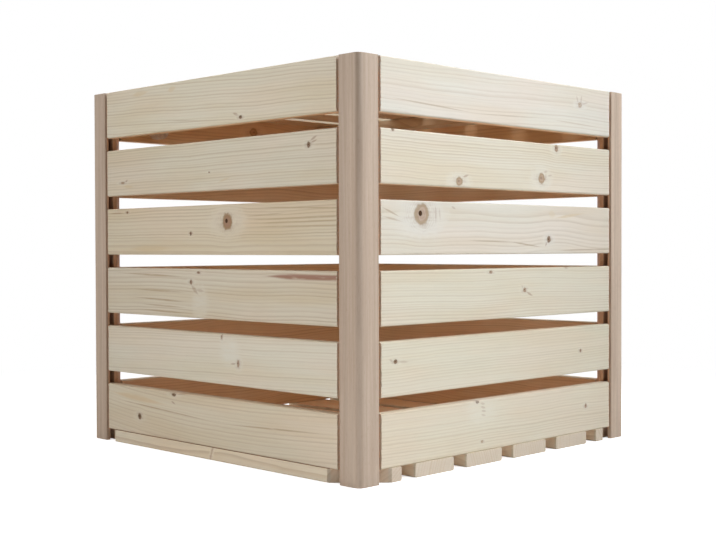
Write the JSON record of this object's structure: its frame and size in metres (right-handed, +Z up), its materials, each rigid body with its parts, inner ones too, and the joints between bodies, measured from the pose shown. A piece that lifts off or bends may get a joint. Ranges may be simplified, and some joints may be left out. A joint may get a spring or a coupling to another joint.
{
  "type": "wooden crate",
  "caption": "Square slatted wooden crate with grooved corner posts, a boarded base and a slatted lid that lifts out.",
  "frame": {"origin": "centre of the underside, at the surface that the crate stands on", "axes": "+Z up; +X and +Y square to the walls. The picture's left wall faces -Y and its right wall faces +X; the base boards run along X and the lid boards along Y"},
  "size_m": [0.4, 0.4, 0.365],
  "materials": {
    "beech": "planed bare beech, fine pores",
    "spruce": "planed bare spruce with knots",
    "zinc_steel": "yellow zinc plated screws"
  },
  "bodies": {
    "crate": {"front_left_post": "beech", "front_right_post": "beech", "back_right_post": "beech", "back_left_post": "beech", "front_slat_1": "spruce", "front_slat_2": "spruce", "front_slat_3": "spruce", "front_slat_4": "spruce", "front_slat_5": "spruce", "front_slat_6": "spruce", "right_slat_1": "spruce", "right_slat_2": "spruce", "right_slat_3": "spruce", "right_slat_4": "spruce", "right_slat_5": "spruce", "right_slat_6": "spruce", "back_slat_1": "spruce", "back_slat_2": "spruce", "back_slat_3": "spruce", "back_slat_4": "spruce", "back_slat_5": "spruce", "back_slat_6": "spruce", "left_slat_1": "spruce", "left_slat_2": "spruce", "left_slat_3": "spruce", "left_slat_4": "spruce", "left_slat_5": "spruce", "left_slat_6": "spruce", "base_board_1": "spruce", "base_board_2": "spruce", "base_board_3": "spruce", "base_board_4": "spruce", "base_board_5": "spruce", "base_board_6": "spruce", "base_screws": "zinc_steel", "front_left_lid_peg": "beech", "front_right_lid_peg": "beech", "back_right_lid_peg": "beech", "back_left_lid_peg": "beech"},
    "lid": {"lid_board_1": "spruce", "lid_board_2": "spruce", "lid_board_3": "spruce", "lid_board_4": "spruce", "lid_board_5": "spruce", "lid_board_6": "spruce", "front_lid_batten": "spruce", "back_lid_batten": "spruce", "lid_screws": "zinc_steel"}
  },
  "joints": [
    {"name": "lid_lift", "type": "slide", "parent": "crate", "child": "lid", "axis": [0, 0, 1], "range_m": [0, 0.15]}
  ]
}
